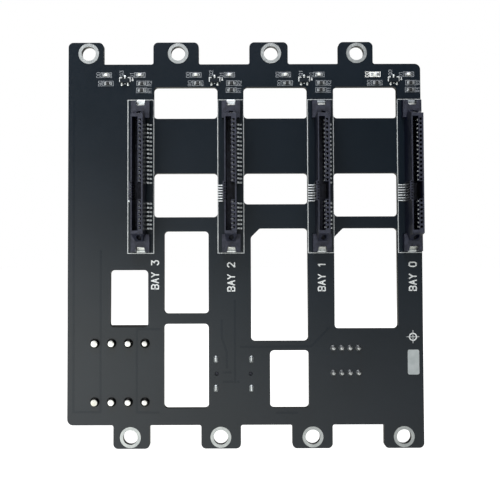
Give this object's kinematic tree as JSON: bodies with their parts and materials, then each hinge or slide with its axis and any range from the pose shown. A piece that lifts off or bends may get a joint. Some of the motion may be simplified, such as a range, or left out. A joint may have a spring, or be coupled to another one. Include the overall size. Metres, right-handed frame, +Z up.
{
  "type": "drive backplane",
  "caption": "Upright black circuit board with windows and screw ears; slotted drive sockets on its front, and power, fan and data connectors on its rear.",
  "frame": {"origin": "on the rear face of the board, midway between the two outer lower screw holes", "axes": "+Z up and +X to the right as seen from the drives; -Y from the board towards the drives"},
  "size_m": [0.1081, 0.022, 0.1239],
  "materials": {
    "solder_mask": "satin black solder mask on glass-epoxy laminate",
    "plated_pad": "tinned copper",
    "solder": "bright solder",
    "socket_moulding": "moulded black",
    "socket_contact": "tinned copper alloy",
    "clip_sheet": "tinned sheet",
    "led_lens": "milky resin",
    "resistor_body": "glazed black",
    "chip_end_cap": "tinned",
    "driver_moulding": "moulded black",
    "lead_frame": "tinned",
    "inlet_moulding": "black moulded nylon",
    "inlet_pin": "tinned brass",
    "header_moulding": "natural nylon",
    "header_pin": "tinned brass",
    "port_shell": "nickel plated sheet",
    "port_moulding": "moulded black",
    "port_contact": "gold plated"
  },
  "bodies": {
    "root": {"bay_0_chip_end_caps": "chip_end_cap", "bay_0_led_driver": "driver_moulding", "bay_0_led_driver_leads": "lead_frame", "bay_0_leds": "led_lens", "bay_0_resistors": "resistor_body", "bay_1_chip_end_caps": "chip_end_cap", "bay_1_led_driver": "driver_moulding", "bay_1_led_driver_leads": "lead_frame", "bay_1_leds": "led_lens", "bay_1_resistors": "resistor_body", "bay_2_chip_end_caps": "chip_end_cap", "bay_2_led_driver": "driver_moulding", "bay_2_led_driver_leads": "lead_frame", "bay_2_leds": "led_lens", "bay_2_resistors": "resistor_body", "bay_3_chip_end_caps": "chip_end_cap", "bay_3_led_driver": "driver_moulding", "bay_3_led_driver_leads": "lead_frame", "bay_3_leds": "led_lens", "bay_3_resistors": "resistor_body", "cable_port_contacts": "port_contact", "cable_port_insulator": "port_moulding", "cable_port_shell": "port_shell", "cable_port_solder_joints": "solder", "circuit_board": "solder_mask", "drive_socket_0_housing": "socket_moulding", "drive_socket_0_power_contacts": "socket_contact", "drive_socket_0_second_port_contacts": "socket_contact", "drive_socket_0_signal_contacts": "socket_contact", "drive_socket_0_solder_clips": "clip_sheet", "drive_socket_1_housing": "socket_moulding", "drive_socket_1_power_contacts": "socket_contact", "drive_socket_1_second_port_contacts": "socket_contact", "drive_socket_1_signal_contacts": "socket_contact", "drive_socket_1_solder_clips": "clip_sheet", "drive_socket_2_housing": "socket_moulding", "drive_socket_2_power_contacts": "socket_contact", "drive_socket_2_second_port_contacts": "socket_contact", "drive_socket_2_signal_contacts": "socket_contact", "drive_socket_2_solder_clips": "clip_sheet", "drive_socket_3_housing": "socket_moulding", "drive_socket_3_power_contacts": "socket_contact", "drive_socket_3_second_port_contacts": "socket_contact", "drive_socket_3_signal_contacts": "socket_contact", "drive_socket_3_solder_clips": "clip_sheet", "fan_header_lower_body": "header_moulding", "fan_header_lower_pins": "header_pin", "fan_header_upper_body": "header_moulding", "fan_header_upper_pins": "header_pin", "fan_solder_joints": "solder", "power_inlet_lower_housing": "inlet_moulding", "power_inlet_lower_pins": "inlet_pin", "power_inlet_upper_housing": "inlet_moulding", "power_inlet_upper_pins": "inlet_pin", "power_solder_joints": "solder", "screw_hole_plating": "plated_pad"}
  },
  "joints": []
}
